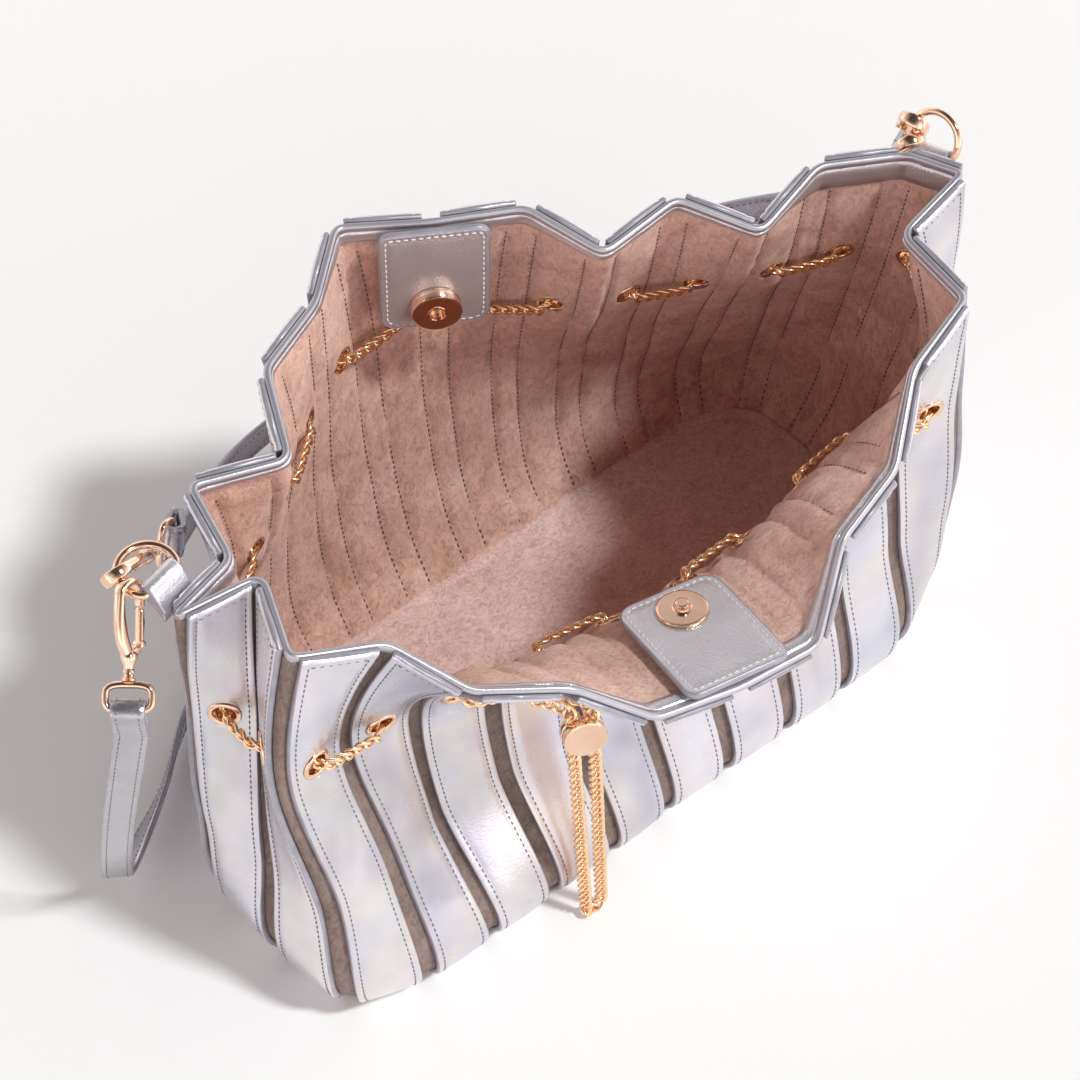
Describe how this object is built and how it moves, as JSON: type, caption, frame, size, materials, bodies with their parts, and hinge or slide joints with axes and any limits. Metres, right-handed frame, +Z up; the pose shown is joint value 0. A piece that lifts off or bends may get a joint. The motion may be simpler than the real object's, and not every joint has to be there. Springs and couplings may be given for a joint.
{
  "type": "drawstring handbag",
  "caption": "Open-topped soft handbag of upright stitched leather slats on suede, gathered by a metal chain through eyelets, with shoulder straps clipped to rings at both ends",
  "frame": {"origin": "centre of the base on the surface it stands on", "axes": "+X from the left end to the right end, +Y from the front to the back, +Z up"},
  "size_m": [0.3838, 0.2284, 0.2105],
  "materials": {
    "silver_leather": "pearl silver metallic leather, fine grain, soft sheen",
    "strap_leather": "pearl silver leather strap with painted edges",
    "suede_body": "taupe suede outside, blush suede lining inside, matt nap",
    "suede_lining": "blush suede base lining, matt nap",
    "rose_gold": "polished pale rose gold plating",
    "chain_metal": "polished rose gold chain"
  },
  "bodies": {
    "bag": {"slat_01": "silver_leather", "slat_02": "silver_leather", "slat_03": "silver_leather", "slat_04": "silver_leather", "slat_05": "silver_leather", "slat_06": "silver_leather", "slat_07": "silver_leather", "slat_08": "silver_leather", "slat_09": "silver_leather", "slat_10": "silver_leather", "slat_11": "silver_leather", "slat_12": "silver_leather", "slat_13": "silver_leather", "slat_14": "silver_leather", "slat_15": "silver_leather", "slat_16": "silver_leather", "slat_17": "silver_leather", "slat_18": "silver_leather", "slat_19": "silver_leather", "slat_20": "silver_leather", "slat_21": "silver_leather", "slat_22": "silver_leather", "slat_23": "silver_leather", "slat_24": "silver_leather", "slat_25": "silver_leather", "slat_26": "silver_leather", "slat_27": "silver_leather", "slat_28": "silver_leather", "rim_facing": "silver_leather", "rim_binding": "silver_leather", "magnet_tab_front": "silver_leather", "magnet_tab_back": "silver_leather", "ring_tab_left": "silver_leather", "ring_tab_right": "silver_leather", "strap_long": "strap_leather", "strap_short": "strap_leather", "body": "suede_body", "base_panel": "suede_lining", "snap_stud": "rose_gold", "snap_socket": "rose_gold", "ring_left": "rose_gold", "ring_right": "rose_gold", "hook_left_front_body": "rose_gold", "hook_left_front_eye": "rose_gold", "hook_left_back_body": "rose_gold", "hook_left_back_eye": "rose_gold", "hook_right_front_body": "rose_gold", "hook_right_front_eye": "rose_gold", "hook_right_back_body": "rose_gold", "hook_right_back_eye": "rose_gold", "chain_left": "chain_metal", "chain_right": "chain_metal", "chain_stopper": "chain_metal"},
    "gate_left_front": {"hook_left_front_gate": "rose_gold"},
    "gate_left_back": {"hook_left_back_gate": "rose_gold"},
    "gate_right_front": {"hook_right_front_gate": "rose_gold"},
    "gate_right_back": {"hook_right_back_gate": "rose_gold"}
  },
  "joints": [
    {"name": "gate_left_front_hinge", "type": "hinge", "parent": "bag", "child": "gate_left_front", "pos_m": [-0.16918, 0.01081, 0.19304], "axis": [0.4208, -0.7581, 0.4981], "range_deg": [0, 20], "stiffness_Nm_per_rad": 0.01, "springref_deg": -5.73},
    {"name": "gate_left_back_hinge", "type": "hinge", "parent": "bag", "child": "gate_left_back", "pos_m": [-0.1546, 0.03633, 0.19253], "axis": [-0.0596, 0.8959, 0.4402], "range_deg": [0, 20], "stiffness_Nm_per_rad": 0.01, "springref_deg": -5.73},
    {"name": "gate_right_front_hinge", "type": "hinge", "parent": "bag", "child": "gate_right_front", "pos_m": [0.15455, 0.02066, 0.18079], "axis": [0.2327, 0.891, 0.3899], "range_deg": [0, 20], "stiffness_Nm_per_rad": 0.01, "springref_deg": -5.73},
    {"name": "gate_right_back_hinge", "type": "hinge", "parent": "bag", "child": "gate_right_back", "pos_m": [0.16813, 0.02569, 0.18781], "axis": [0.8264, 0.2638, 0.4975], "range_deg": [0, 20], "stiffness_Nm_per_rad": 0.01, "springref_deg": -5.73}
  ]
}
